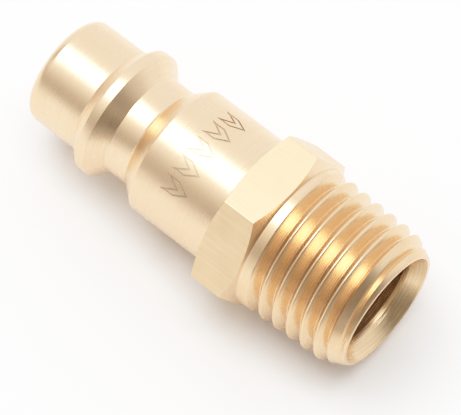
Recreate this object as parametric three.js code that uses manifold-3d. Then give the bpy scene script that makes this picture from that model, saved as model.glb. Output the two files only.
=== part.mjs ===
// Male plug of a quick disconnect coupling: a turned brass body with a hexagon and a taper
// thread, and the shut-off valve that it carries in its bore.
//
// Millimetres, +Z up. The plug's axis is X, with the nose at -X and the thread at +X, and it
// lies with one hexagon flat down. The origin is the middle of the axis.
// "Station" means the distance along the axis from the nose's front face.

import * as THREE from 'three';
import { mergeVertices } from 'three/addons/utils/BufferGeometryUtils.js';
import Module from 'manifold-3d';

const wasm = await Module();
wasm.setup();

// ---------------------------------------------------------------- driving dimensions
// Every diameter of the body is a bore plus a wall, so that the walls hold when a bore changes.

const CHAMBER = { bore: 9, mouthFlare: 0.68, mouthDepth: 1.5 };
const SEAT = { width: 1.1, angle: 45, setback: 0.25 };
const NOSE = { wall: 1.6, length: 5.4, edgeRadius: 0.9, boreChamfer: 0.3 };
const NECK = { wall: 1.3, length: 2.23 };
const COLLAR = { height: 1.35, frontCone: 1.04, band: 0.9, rearCone: 1.28 };
const BARREL = { wall: 1.5, cone: 1.55, length: 8.1 };
const HEX = { step: 0.25, thickness: 4.12, rearFaceInset: 0.1, rearAngle: 20, frontAngle: 26 };
const RELIEF = { wall: 2.25, length: 0.58 };

// External taper thread, 18 turns to the inch, right hand. The groove starts behind the
// hexagon at startAngle, measured about +X from +Y, and sinks to its depth over runOutTurns.
const THREAD = {
  pitch: 25.4 / 18,
  length: 9.9,
  taper: 1 / 16,
  crestFlat: 0.2,
  rootFlat: 0.1,
  flankAngle: 30,
  endFaceWidth: 0.32,
  leadAngle: 28,
  startAngle: 243.3,
  runOutTurns: 0.35,
  runOutRise: 0.1,
};

// An internal retaining ring for a 9 mm bore, and its groove, measured from the end face.
const RING_GROOVE = { depth: 0.2, width: 0.9, fromEnd: 8 };
const RING = { thickness: 0.8, width: 0.95, gapAngle: 46, lugDepth: 1.75, lugWidth: 1.9, eyeDiameter: 0.9 };

const POPPET = {
  tipStation: 4.5,
  probeDiameter: 3,
  flangeLength: 0.55,
  headLength: 1.4,
  spigotLength: 1,
  stemDiameter: 2.4,
  stemOverrun: 1.1,
  edge: 0.3,
};
const SEAL = { cord: 1.2, inset: 0.15 };
const SPRING = { wire: 0.6, meanDiameter: 5.7, activeCoils: 5, deadCoils: 1 };
const GUIDE = { thickness: 1.6, hubMargin: 0.15, spigotLength: 1.1, arms: 3, armWidth: 1.8 };

// Clearances, radial on the round fits, and the gap left between faces that touch.
const RUNNING_CLEARANCE = 0.05;
const SPRING_CLEARANCE = 0.1;
const FLANGE_CLEARANCE = 0.4;
const FLOW_CLEARANCE = 0.6;
const FACE_GAP = 0.05;

// Fineness of the round shapes, and how far a cutting shape runs past what it cuts.
const BODY_FACETS = 40;
const SMALL_FACETS = 24;
const ARC_STEPS = 4;
const GROOVE_STEPS_PER_TURN = 20;
const SPRING_STEPS_PER_TURN = 16;
const SPRING_WIRE_SIDES = 6;
const RING_ARC_STEPS = 14;
const CUT_OVERRUN = 1;

// ---------------------------------------------------------------- radii

const chamberRadius = CHAMBER.bore / 2;
const noseBoreRadius = chamberRadius - SEAT.width;
const mouthRadius = chamberRadius + CHAMBER.mouthFlare;
const ringGrooveRadius = chamberRadius + RING_GROOVE.depth;
const noseRadius = noseBoreRadius + NOSE.wall;
const neckRadius = noseBoreRadius + NECK.wall;
const collarRadius = neckRadius + COLLAR.height;
const barrelRadius = chamberRadius + BARREL.wall;
const reliefRadius = chamberRadius + RELIEF.wall;
const endFaceRadius = mouthRadius + THREAD.endFaceWidth;
const hexHalfWidth = reliefRadius + HEX.step;
const threadDepth = (THREAD.pitch - THREAD.crestFlat - THREAD.rootFlat) / 2 / tangent(THREAD.flankAngle);
const springInnerRadius = (SPRING.meanDiameter - SPRING.wire) / 2;
const springOuterRadius = (SPRING.meanDiameter + SPRING.wire) / 2;
const spigotRadius = springInnerRadius - SPRING_CLEARANCE;
const stemRadius = POPPET.stemDiameter / 2;

// ---------------------------------------------------------------- stations along the axis

const collarStart = NOSE.length;
const bandStart = collarStart + COLLAR.frontCone;
const bandEnd = bandStart + COLLAR.band;
const neckStart = bandEnd + COLLAR.rearCone;
const neckEnd = neckStart + NECK.length;
const barrelStart = neckEnd + BARREL.cone;
const hexRear = barrelStart + BARREL.length;
const hexFront = hexRear + HEX.thickness;
const threadStart = hexFront + RELIEF.length;
const totalLength = threadStart + THREAD.length;

const seatStart = neckEnd + SEAT.setback;
const seatEnd = seatStart + SEAT.width / tangent(SEAT.angle);
const grooveRear = totalLength - RING_GROOVE.fromEnd;
const grooveFront = grooveRear - RING_GROOVE.width;
const ringFront = grooveFront + (RING_GROOVE.width - RING.thickness) / 2;
const guideRear = ringFront - FACE_GAP;
const guideFront = guideRear - GUIDE.thickness;

// The seal touches the seat cone, which fixes where it stands along the axis.
const sealRadius = noseBoreRadius - SEAL.inset;
const sealToSeat = (SEAL.cord / 2 + FACE_GAP) / sine(SEAT.angle);
const sealStation = seatStart - SEAL.inset / tangent(SEAT.angle) + sealToSeat;
const sealSlotHalfWidth = SEAL.cord / 2 + FACE_GAP;
const headStart = sealStation + sealSlotHalfWidth;
const headEnd = headStart + POPPET.headLength;
const springStart = headEnd + FACE_GAP;
const springEnd = guideFront - FACE_GAP;

function tangent(degrees) {
  return Math.tan(THREE.MathUtils.degToRad(degrees));
}

function sine(degrees) {
  return Math.sin(THREE.MathUtils.degToRad(degrees));
}

// ---------------------------------------------------------------- shape helpers

// Turns a profile about the plug's axis. The profile is a Path of (station, radius) points,
// drawn with its solid side on the right, and it ends on the axis or where it began.
function turned(profile, facets) {
  const points = profile.getPoints(ARC_STEPS).map((p) => new THREE.Vector2(p.y, p.x));
  const geometry = new THREE.LatheGeometry(points, facets);
  geometry.rotateZ(-Math.PI / 2);
  return welded(geometry);
}

function profileThrough(points) {
  const path = new THREE.Path();
  path.setFromPoints(points.map(([station, radius]) => new THREE.Vector2(station, radius)));
  return path;
}

// Extrudes a flat shape along the axis. The shape is drawn as (y, z), seen from +X.
function extrudedAlongAxis(shape, station, thickness, curveSegments) {
  const geometry = new THREE.ExtrudeGeometry(shape, {
    depth: thickness,
    bevelEnabled: false,
    curveSegments,
  });
  const toAxis = new THREE.Matrix4().makeBasis(
    new THREE.Vector3(0, 1, 0),
    new THREE.Vector3(0, 0, 1),
    new THREE.Vector3(1, 0, 0),
  );
  geometry.applyMatrix4(toAxis);
  geometry.translate(station, 0, 0);
  return welded(geometry);
}

function welded(geometry) {
  geometry.deleteAttribute('normal');
  geometry.deleteAttribute('uv');
  return mergeVertices(geometry);
}

function toSolid(geometry) {
  const vertProperties = new Float32Array(geometry.attributes.position.array);
  const triVerts = new Uint32Array(geometry.index.array);
  return new wasm.Manifold(new wasm.Mesh({ numProp: 3, vertProperties, triVerts }));
}

function toGeometry(solid) {
  const mesh = solid.getMesh();
  const geometry = new THREE.BufferGeometry();
  geometry.setAttribute('position', new THREE.BufferAttribute(mesh.vertProperties, 3));
  geometry.setIndex(new THREE.BufferAttribute(mesh.triVerts, 1));
  return geometry;
}

// A helix about the axis. Its radius and its advance are functions of the turns made so far.
class AxialHelix extends THREE.Curve {
  constructor(turns, stationAt, radiusAt, startAngle = 0) {
    super();
    this.turns = turns;
    this.stationAt = stationAt;
    this.radiusAt = radiusAt;
    this.startAngle = startAngle;
  }

  angleAt(t) {
    return this.startAngle + t * this.turns * 2 * Math.PI;
  }

  getPoint(t, target = new THREE.Vector3()) {
    const turn = t * this.turns;
    const radius = this.radiusAt(turn);
    const angle = this.angleAt(t);
    return target.set(this.stationAt(turn), radius * Math.cos(angle), radius * Math.sin(angle));
  }

  // Frames whose normal points straight out from the axis, so that a swept section keeps its
  // attitude to the axis all the way.
  computeFrenetFrames(segments) {
    const tangents = [];
    const normals = [];
    const binormals = [];
    for (let i = 0; i <= segments; i++) {
      const u = i / segments;
      const angle = this.angleAt(this.getUtoTmapping(u));
      const normal = new THREE.Vector3(0, Math.cos(angle), Math.sin(angle));
      const along = this.getTangentAt(u);
      const binormal = along.clone().cross(normal).normalize();
      tangents.push(normal.clone().cross(binormal));
      normals.push(normal);
      binormals.push(binormal);
    }
    return { tangents, normals, binormals };
  }
}

function swept(section, helix, stepsPerTurn) {
  const geometry = new THREE.ExtrudeGeometry(section, {
    steps: Math.ceil(helix.turns * stepsPerTurn),
    extrudePath: helix,
  });
  return welded(geometry);
}

// ---------------------------------------------------------------- brass body

function bodyBlank() {
  const edge = NOSE.edgeRadius;
  const leadStart = leadConeStart();
  const profile = new THREE.Path();
  profile.moveTo(0, 0);
  profile.lineTo(0, noseRadius - edge);
  profile.absarc(edge, noseRadius - edge, edge, Math.PI, Math.PI / 2, true);
  profile.lineTo(collarStart, noseRadius);
  profile.lineTo(bandStart, collarRadius);
  profile.lineTo(bandEnd, collarRadius);
  profile.lineTo(neckStart, neckRadius);
  profile.lineTo(neckEnd, neckRadius);
  profile.lineTo(barrelStart, barrelRadius);
  profile.lineTo(hexRear, barrelRadius);
  profile.lineTo(hexFront, reliefRadius);
  profile.lineTo(threadStart, reliefRadius);
  profile.lineTo(leadStart, crestRadius(leadStart));
  profile.lineTo(totalLength, endFaceRadius);
  profile.lineTo(totalLength, 0);
  return toSolid(turned(profile, BODY_FACETS));
}

function crestRadius(station) {
  return reliefRadius - ((station - threadStart) * THREAD.taper) / 2;
}

// Where the tapered crests meet the lead cone that starts at the end face.
function leadConeStart() {
  const rise = crestRadius(totalLength) - endFaceRadius;
  return totalLength - rise / (tangent(THREAD.leadAngle) - THREAD.taper / 2);
}

// A hexagonal prism cut back by a cone at each end, with a flat facing down.
function hexagon() {
  const corner = (2 * hexHalfWidth) / Math.sqrt(3);
  const outline = new THREE.Shape();
  for (let i = 0; i < 6; i++) {
    const angle = (i * Math.PI) / 3;
    outline[i ? 'lineTo' : 'moveTo'](corner * Math.cos(angle), corner * Math.sin(angle));
  }
  const prism = toSolid(extrudedAlongAxis(outline, hexRear, HEX.thickness, 1));
  const beyond = corner + CUT_OVERRUN;
  const rearRadius = hexHalfWidth - HEX.rearFaceInset;
  const cones = profileThrough([
    [hexRear, 0],
    [hexRear, rearRadius],
    [hexRear + (beyond - rearRadius) * tangent(HEX.rearAngle), beyond],
    [hexFront - (beyond - reliefRadius) * tangent(HEX.frontAngle), beyond],
    [hexFront, reliefRadius],
    [hexFront, 0],
  ]);
  return prism.intersect(toSolid(turned(cones, BODY_FACETS)));
}

// The bore from nose to thread: nose bore, valve seat, valve chamber with the groove of the
// retaining ring, and the flared mouth.
function boreCutter() {
  const flareSlope = CHAMBER.mouthFlare / CHAMBER.mouthDepth;
  const cutter = profileThrough([
    [-CUT_OVERRUN, 0],
    [-CUT_OVERRUN, noseBoreRadius + NOSE.boreChamfer + CUT_OVERRUN],
    [NOSE.boreChamfer, noseBoreRadius],
    [seatStart, noseBoreRadius],
    [seatEnd, chamberRadius],
    [grooveFront, chamberRadius],
    [grooveFront, ringGrooveRadius],
    [grooveRear, ringGrooveRadius],
    [grooveRear, chamberRadius],
    [totalLength - CHAMBER.mouthDepth, chamberRadius],
    [totalLength + CUT_OVERRUN, mouthRadius + CUT_OVERRUN * flareSlope],
    [totalLength + CUT_OVERRUN, 0],
  ]);
  return toSolid(turned(cutter, BODY_FACETS));
}

// The thread groove, which rises out of the metal over the first part of a turn.
function threadGroove() {
  const turns = (totalLength + CUT_OVERRUN - threadStart) / THREAD.pitch;
  const stationAt = (turn) => threadStart + turn * THREAD.pitch;
  const rootRadius = (turn) => {
    const sunk = Math.min(turn / THREAD.runOutTurns, 1);
    return crestRadius(stationAt(turn)) + THREAD.runOutRise * (1 - sunk) - threadDepth * sunk;
  };
  const startAngle = THREE.MathUtils.degToRad(THREAD.startAngle);
  const helix = new AxialHelix(turns, stationAt, rootRadius, startAngle);
  const height = threadDepth + CUT_OVERRUN;
  const rootHalf = THREAD.rootFlat / 2;
  const topHalf = rootHalf + height * tangent(THREAD.flankAngle);
  const section = new THREE.Shape([
    new THREE.Vector2(0, -rootHalf),
    new THREE.Vector2(height, -topHalf),
    new THREE.Vector2(height, topHalf),
    new THREE.Vector2(0, rootHalf),
  ]);
  return toSolid(swept(section, helix, GROOVE_STEPS_PER_TURN));
}

function plugBody() {
  const outside = bodyBlank().add(hexagon()).subtract(threadGroove());
  return toGeometry(outside.subtract(boreCutter()));
}

// ---------------------------------------------------------------- shut-off valve

function valvePoppet() {
  const probe = POPPET.probeDiameter / 2;
  const flange = noseBoreRadius - FLANGE_CLEARANCE;
  const flangeEnd = sealStation - sealSlotHalfWidth;
  const flangeStart = flangeEnd - POPPET.flangeLength;
  const slotFloor = sealRadius - SEAL.cord / 2 - FACE_GAP;
  const head = chamberRadius - FLOW_CLEARANCE;
  const spigotEnd = headEnd + POPPET.spigotLength;
  const stemEnd = guideRear + POPPET.stemOverrun;
  const edge = POPPET.edge;
  const profile = new THREE.Path();
  profile.moveTo(POPPET.tipStation, 0);
  profile.absarc(POPPET.tipStation + probe, 0, probe, Math.PI, Math.PI / 2, true);
  profile.lineTo(flangeStart - (flange - probe), probe);
  profile.lineTo(flangeStart, flange);
  profile.lineTo(flangeEnd, flange);
  profile.lineTo(flangeEnd, slotFloor);
  profile.lineTo(headStart, slotFloor);
  profile.lineTo(headStart, head - edge);
  profile.lineTo(headStart + edge, head);
  profile.lineTo(headEnd - edge, head);
  profile.lineTo(headEnd, head - edge);
  profile.lineTo(headEnd, spigotRadius);
  profile.lineTo(spigotEnd - edge, spigotRadius);
  profile.lineTo(spigotEnd, spigotRadius - edge);
  profile.lineTo(spigotEnd, stemRadius);
  profile.lineTo(stemEnd - edge, stemRadius);
  profile.lineTo(stemEnd, stemRadius - edge);
  profile.lineTo(stemEnd, 0);
  return turned(profile, SMALL_FACETS);
}

function poppetSeal() {
  const profile = new THREE.Path();
  const start = sealStation - SEAL.cord / 2;
  profile.moveTo(start, sealRadius);
  profile.absarc(sealStation, sealRadius, SEAL.cord / 2, Math.PI, -Math.PI, true);
  return turned(profile, SMALL_FACETS);
}

// A compression spring with closed ends: the dead coils lie almost wire on wire, and the
// active coils share the rest of the length evenly.
function valveSpring() {
  const deadPitch = SPRING.wire + FACE_GAP;
  const first = springStart + SPRING.wire / 2;
  const last = springEnd - SPRING.wire / 2;
  const deadLength = SPRING.deadCoils * deadPitch;
  const activePitch = (last - first - 2 * deadLength) / SPRING.activeCoils;
  const activeEnd = SPRING.deadCoils + SPRING.activeCoils;
  const turns = activeEnd + SPRING.deadCoils;
  const stationAt = (turn) => {
    if (turn < SPRING.deadCoils) return first + turn * deadPitch;
    if (turn < activeEnd) return first + deadLength + (turn - SPRING.deadCoils) * activePitch;
    return last - (turns - turn) * deadPitch;
  };
  const helix = new AxialHelix(turns, stationAt, () => SPRING.meanDiameter / 2);
  const section = new THREE.Shape();
  for (let i = 0; i < SPRING_WIRE_SIDES; i++) {
    const angle = (i * 2 * Math.PI) / SPRING_WIRE_SIDES;
    const corner = [(SPRING.wire / 2) * Math.cos(angle), (SPRING.wire / 2) * Math.sin(angle)];
    section[i ? 'lineTo' : 'moveTo'](...corner);
  }
  return swept(section, helix, SPRING_STEPS_PER_TURN);
}

// The star-shaped guide: a hub bored for the poppet's stem, with arms that reach the chamber
// wall and a spigot in front that centres the spring.
function valveGuide() {
  const hub = springOuterRadius + GUIDE.hubMargin;
  const stemHole = stemRadius + RUNNING_CLEARANCE;
  const reach = chamberRadius - RUNNING_CLEARANCE;
  const hubProfile = profileThrough([
    [guideFront, hub],
    [guideRear, hub],
    [guideRear, stemHole],
    [guideFront - GUIDE.spigotLength, stemHole],
    [guideFront - GUIDE.spigotLength, spigotRadius],
    [guideFront, spigotRadius],
    [guideFront, hub],
  ]);
  const rim = profileThrough([
    [guideFront, 0],
    [guideFront, reach],
    [guideRear, reach],
    [guideRear, 0],
  ]);
  const hubMiddle = (stemHole + hub) / 2;
  const armLength = reach + CUT_OVERRUN - hubMiddle;
  let arms = null;
  for (let i = 0; i < GUIDE.arms; i++) {
    const arm = new THREE.BoxGeometry(GUIDE.thickness, armLength, GUIDE.armWidth);
    arm.translate((guideFront + guideRear) / 2, hubMiddle + armLength / 2, 0);
    arm.rotateX(Math.PI / 2 + (i * 2 * Math.PI) / GUIDE.arms);
    const solid = toSolid(welded(arm));
    arms = arms ? arms.add(solid) : solid;
  }
  const trimmed = arms.intersect(toSolid(turned(rim, BODY_FACETS)));
  return toGeometry(toSolid(turned(hubProfile, SMALL_FACETS)).add(trimmed));
}

// An internal retaining ring: a flat split ring with a lug and a plier eye at each end.
function retainingRing() {
  const outer = ringGrooveRadius - RUNNING_CLEARANCE;
  const inner = outer - RING.width;
  const halfGap = THREE.MathUtils.degToRad(RING.gapAngle / 2);
  const lugAngle = RING.lugWidth / inner;
  const lugRadius = outer - RING.lugDepth;
  const eyeRadius = RING.eyeDiameter / 2;
  const eyeCentre = lugRadius + (RING.lugDepth - RING.width / 2) / 2;
  const outline = new THREE.Shape();
  const end = 2 * Math.PI - halfGap;
  outline.absarc(0, 0, outer, halfGap, end, false);
  outline.absarc(0, 0, lugRadius, end, end - lugAngle, true);
  outline.absarc(0, 0, inner, end - lugAngle, halfGap + lugAngle, true);
  outline.absarc(0, 0, lugRadius, halfGap + lugAngle, halfGap, true);
  outline.closePath();
  for (const angle of [halfGap + lugAngle / 2, end - lugAngle / 2]) {
    const eye = new THREE.Path();
    eye.absarc(eyeCentre * Math.cos(angle), eyeCentre * Math.sin(angle), eyeRadius, 0, 2 * Math.PI, true);
    outline.holes.push(eye);
  }
  const geometry = extrudedAlongAxis(outline, ringFront, RING.thickness, RING_ARC_STEPS);
  geometry.rotateX(Math.PI / 2);
  return geometry;
}

// ---------------------------------------------------------------- scene graph

const FINISH = {
  brass: { color: 0xd9b56a, metalness: 1, roughness: 0.3 },
  turnedBrass: { color: 0xcfa658, metalness: 1, roughness: 0.35 },
  springSteel: { color: 0xb9bbbe, metalness: 1, roughness: 0.3 },
  phosphatedSteel: { color: 0x35363a, metalness: 0.8, roughness: 0.5 },
  nitrileRubber: { color: 0x17181a, metalness: 0, roughness: 0.7 },
};

function node(name, geometry, finish) {
  const material = new THREE.MeshStandardMaterial(FINISH[finish]);
  const mesh = new THREE.Mesh(geometry, material);
  mesh.name = name;
  return mesh;
}

const housing = new THREE.Group();
housing.name = 'housing';
housing.add(node('plug_body', plugBody(), 'brass'));
housing.add(node('valve_guide', valveGuide(), 'turnedBrass'));
housing.add(node('retaining_ring', retainingRing(), 'phosphatedSteel'));
housing.add(node('valve_spring', valveSpring(), 'springSteel'));

const valve = new THREE.Group();
valve.name = 'valve';
valve.add(node('valve_poppet', valvePoppet(), 'turnedBrass'));
valve.add(node('poppet_seal', poppetSeal(), 'nitrileRubber'));

const group = new THREE.Group();
group.name = 'quick_disconnect_plug';
group.position.x = -totalLength / 2;
group.add(housing, valve);

export default group;
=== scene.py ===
"""A brass plug for a quick disconnect coupling, with the shut-off valve in its bore.

Pieces are modelled in millimetres. X is the station along the plug's axis, counted from the
nose's front face. A finished piece is then set into the frame, which is in metres.
Angles about the axis are counted from +Y towards +Z. Fields give angles in degrees.
"""

import logging
import math
from contextlib import contextmanager
from dataclasses import dataclass, field
from enum import Enum
from functools import cache
from typing import Callable, Iterator, Sequence

import bmesh
import bpy
from mathutils import Matrix, Vector


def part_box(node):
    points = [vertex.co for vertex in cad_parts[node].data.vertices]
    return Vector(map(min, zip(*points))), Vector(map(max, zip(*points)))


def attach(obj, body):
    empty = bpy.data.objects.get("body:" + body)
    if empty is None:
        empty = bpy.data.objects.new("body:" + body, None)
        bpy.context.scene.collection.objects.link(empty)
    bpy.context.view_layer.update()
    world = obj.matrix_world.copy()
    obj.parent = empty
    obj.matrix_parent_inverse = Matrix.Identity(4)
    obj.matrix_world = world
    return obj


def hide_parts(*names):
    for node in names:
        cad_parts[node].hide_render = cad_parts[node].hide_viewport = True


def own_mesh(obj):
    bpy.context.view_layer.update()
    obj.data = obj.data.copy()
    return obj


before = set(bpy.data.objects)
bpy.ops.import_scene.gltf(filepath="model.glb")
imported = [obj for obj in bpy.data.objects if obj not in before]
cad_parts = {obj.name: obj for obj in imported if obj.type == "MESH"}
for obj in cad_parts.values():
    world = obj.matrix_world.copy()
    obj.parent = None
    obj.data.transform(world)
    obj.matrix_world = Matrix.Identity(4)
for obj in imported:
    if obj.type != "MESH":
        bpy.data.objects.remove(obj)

log = logging.getLogger("plug")

MM = 0.001
FULL_TURN = 2 * math.pi
NOSE_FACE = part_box("plug_body")[0].x

# Points that are closer than this, in millimetres, are one point.
TOUCHING = 1e-4

# Faces that meet at more than this many degrees keep a crease.
CREASE = 30.0

Colour = tuple[float, float, float]
Stops = Sequence[tuple[float, Colour]]
Piece = bpy.types.Object
Socket = bpy.types.NodeSocket


# ------------------------------------------------------------------------------ the bench


@dataclass(frozen=True)
class Span:
    """Where a node of the frame lies, in millimetres.

    Attributes:
        start: its first station.
        end: its last station.
        reach: how far it goes from the axis, along Y.
    """

    start: float
    end: float
    reach: float

    @classmethod
    def of(cls, node: str) -> "Span":
        """Reads the span of a node from the frame."""
        low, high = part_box(node)
        return cls((low.x - NOSE_FACE) / MM, (high.x - NOSE_FACE) / MM, high.y / MM)

    @property
    def middle(self) -> float:
        """The station halfway along."""
        return (self.start + self.end) / 2

    @property
    def length(self) -> float:
        """How far it runs along the axis."""
        return self.end - self.start


@dataclass(frozen=True)
class Step:
    """The next corner of a turned profile.

    Attributes:
        advance: how far it lies along the axis from the corner before it.
        radius: its distance from the axis.
        edge: how far back from the corner its rounding starts.
    """

    advance: float
    radius: float
    edge: float = 0.0


class Join(Enum):
    """How a tool shape acts on a piece."""

    ADD = "UNION"
    CUT = "DIFFERENCE"
    KEEP = "INTERSECT"


def activate(piece: Piece) -> None:
    """Selects one piece and nothing else, and makes it the active one.

    Args:
        piece: the piece.
    """
    bpy.ops.object.select_all(action="DESELECT")
    piece.select_set(True)
    bpy.context.view_layer.objects.active = piece


def polar(radius: float, angle: float) -> tuple[float, float]:
    """Y and Z of a point at a radius and an angle in radians about the axis."""
    return radius * math.cos(angle), radius * math.sin(angle)


def primitive(name: str, add: Callable[..., set[str]], **settings: object) -> Piece:
    """Starts a piece from a primitive, with its turn and its place in its mesh.

    Args:
        name: the new piece's name.
        add: the operator that adds the primitive.
        settings: what the operator is given.

    Returns:
        The piece.
    """
    bpy.ops.object.select_all(action="DESELECT")
    add(**settings)
    piece = bpy.context.view_layer.objects.active
    piece.name = name
    piece.data.name = name
    bpy.ops.object.transform_apply(location=True, rotation=True, scale=True)
    return piece


@contextmanager
def editing(piece: Piece) -> Iterator[None]:
    """Opens a piece in edit mode with all of it selected, and closes it again.

    Args:
        piece: the piece to edit.

    Yields:
        Nothing, while the piece is open.
    """
    activate(piece)
    bpy.ops.object.mode_set(mode="EDIT")
    bpy.ops.mesh.select_mode(type="VERT")
    bpy.ops.mesh.select_all(action="SELECT")
    yield
    bpy.ops.object.mode_set(mode="OBJECT")


def pick(test: Callable[[Vector], bool]) -> None:
    """Selects the vertices of the piece in edit mode that pass a test.

    Args:
        test: says of a vertex's place whether it is picked.
    """
    data = bpy.context.edit_object.data
    mesh = bmesh.from_edit_mesh(data)
    bpy.ops.mesh.select_all(action="DESELECT")
    for vertex in mesh.verts:
        vertex.select = test(vertex.co)
    mesh.select_flush(True)
    bmesh.update_edit_mesh(data)


def extrude_by(offset: Sequence[float]) -> None:
    """Extrudes what is selected, and moves the new part by an offset."""
    bpy.ops.mesh.extrude_region_move(TRANSFORM_OT_translate={"value": tuple(offset)})


def close_up() -> None:
    """Merges doubles in edit mode, and turns all faces outwards."""
    bpy.ops.mesh.select_all(action="SELECT")
    bpy.ops.mesh.remove_doubles(threshold=TOUCHING)
    bpy.ops.mesh.normals_make_consistent(inside=False)


def trim(first: float, last: float) -> None:
    """Cuts off in edit mode what lies outside two stations, and closes the cuts.

    Args:
        first: the station that the piece then starts at.
        last: the station that it ends at.
    """
    for station, side in ((first, "clear_inner"), (last, "clear_outer")):
        bpy.ops.mesh.select_all(action="SELECT")
        cut = {"plane_co": (station, 0, 0), "plane_no": (1, 0, 0), "use_fill": True, side: True}
        bpy.ops.mesh.bisect(**cut)
    close_up()


def single_vertex(name: str, place: Sequence[float]) -> Piece:
    """Makes a piece of one vertex, which is left selected when the piece is next edited.

    Args:
        name: the new piece's name.
        place: where the vertex lies.

    Returns:
        The piece.
    """
    piece = primitive(name, bpy.ops.mesh.primitive_plane_add, size=1)
    with editing(piece):
        bpy.ops.mesh.merge(type="CENTER")
        bpy.ops.transform.translate(value=tuple(place))
    return piece


def corners_of(start: float, steps: Sequence[Step]) -> list[Vector]:
    """Places the corners of a turned profile, in the plane of the axis and +Y.

    Args:
        start: the station that the first step counts from.
        steps: the corners, in order.

    Returns:
        Each corner's place.
    """
    station, corners = start, []
    for step in steps:
        station += step.advance
        corners.append(Vector((station, step.radius, 0)))
    return corners


def drawn(name: str, start: float, steps: Sequence[Step]) -> Piece:
    """Draws a turned profile as a wire, with its corners rounded.

    Args:
        name: the new piece's name.
        start: the station that the first step counts from.
        steps: the corners, in order.

    Returns:
        A piece that holds the wire.
    """
    corners = corners_of(start, steps)
    piece = single_vertex(name, corners[0])
    with editing(piece):
        for here, there in zip(corners, corners[1:]):
            extrude_by(there - here)
        for corner, step in zip(corners, steps):
            if step.edge:
                pick(lambda place: (place - corner).length < TOUCHING)
                bpy.ops.mesh.bevel(
                    offset=step.edge,
                    offset_type="OFFSET",
                    segments=2 + int(step.edge / 0.15),
                    profile=0.5,
                    affect="VERTICES",
                )
    return piece


def turned(name: str, start: float, steps: Sequence[Step], facets: int, closed: bool = False) -> Piece:
    """Turns a profile about the axis.

    Args:
        name: the new piece's name.
        start: the station that the first step counts from.
        steps: the corners, which start and end on the axis unless the profile is closed.
        facets: how many flats make the round.
        closed: whether the last corner joins the first one.

    Returns:
        The turned solid.
    """
    piece = drawn(name, start, steps)
    with editing(piece):
        if closed:
            ends = corners_of(start, steps)[:: len(steps) - 1]
            pick(lambda place: any((place - end).length < TOUCHING for end in ends))
            bpy.ops.mesh.edge_face_add()
        bpy.ops.mesh.select_all(action="SELECT")
        bpy.ops.mesh.spin(steps=facets, angle=FULL_TURN, center=(0, 0, 0), axis=(1, 0, 0))
        close_up()
    return piece


def apply_modifier(piece: Piece, kind: str, **settings: object) -> None:
    """Adds a modifier to a piece, and applies it.

    Args:
        piece: the piece that it acts on.
        kind: the modifier's type.
        settings: values for the modifier's own properties.
    """
    activate(piece)
    modifier = piece.modifiers.new(kind.lower(), kind)
    for key, value in settings.items():
        setattr(modifier, key, value)
    bpy.ops.object.modifier_apply(modifier=modifier.name)


def wind(piece: Piece, lead: float, turns: int, steps: int) -> None:
    """Winds an outline round the axis into a screw.

    Args:
        piece: the piece that holds the outline.
        lead: how far one turn goes along the axis.
        turns: how many turns it makes.
        steps: how many flats make one turn.
    """
    apply_modifier(
        piece,
        "SCREW",
        axis="X",
        angle=FULL_TURN,
        screw_offset=lead,
        iterations=turns,
        steps=steps,
        render_steps=steps,
    )


def combine(piece: Piece, tool: Piece, how: Join) -> None:
    """Joins a tool shape to a piece, or cuts the piece with it, and removes the tool."""
    apply_modifier(piece, "BOOLEAN", operation=how.value, object=tool, solver="MANIFOLD")
    bpy.data.objects.remove(tool)


def settle(piece: Piece) -> None:
    """Sets a finished piece into the frame, with its place and its scale in its mesh.

    Args:
        piece: the piece, in millimetres.
    """
    activate(piece)
    piece.scale = (MM, MM, MM)
    piece.location = (NOSE_FACE, 0, 0)
    bpy.ops.object.transform_apply(location=True, rotation=True, scale=True)


def smooth(piece: Piece) -> None:
    """Shades a piece smooth, with creases where its faces meet at an angle.

    Args:
        piece: the piece to shade.
    """
    activate(piece)
    bpy.ops.object.shade_smooth_by_angle(angle=math.radians(CREASE))
    apply_modifier(piece, "WEIGHTED_NORMAL", keep_sharp=True, weight=50)


def cover(piece: Piece, material: bpy.types.Material) -> None:
    """Covers a whole piece in one material, in place of the slots that its tools left.

    Args:
        piece: the piece to cover.
        material: what covers it.
    """
    piece.data.materials.clear()
    piece.data.materials.append(material)
    for face in piece.data.polygons:
        face.material_index = 0


def hand_over(piece: Piece, node: str, body: str) -> None:
    """Sets a finished piece into the frame, smooths it, and gives it to the frame.

    Args:
        piece: the finished piece, in millimetres.
        node: the plain node that it stands for.
        body: the body that it moves with.
    """
    settle(piece)
    smooth(piece)
    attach(piece, body)
    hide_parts(node)
    log.info("%s rides on %s, %d faces", piece.name, body, len(piece.data.polygons))


# ------------------------------------------------------------------------------ finishes


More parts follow.
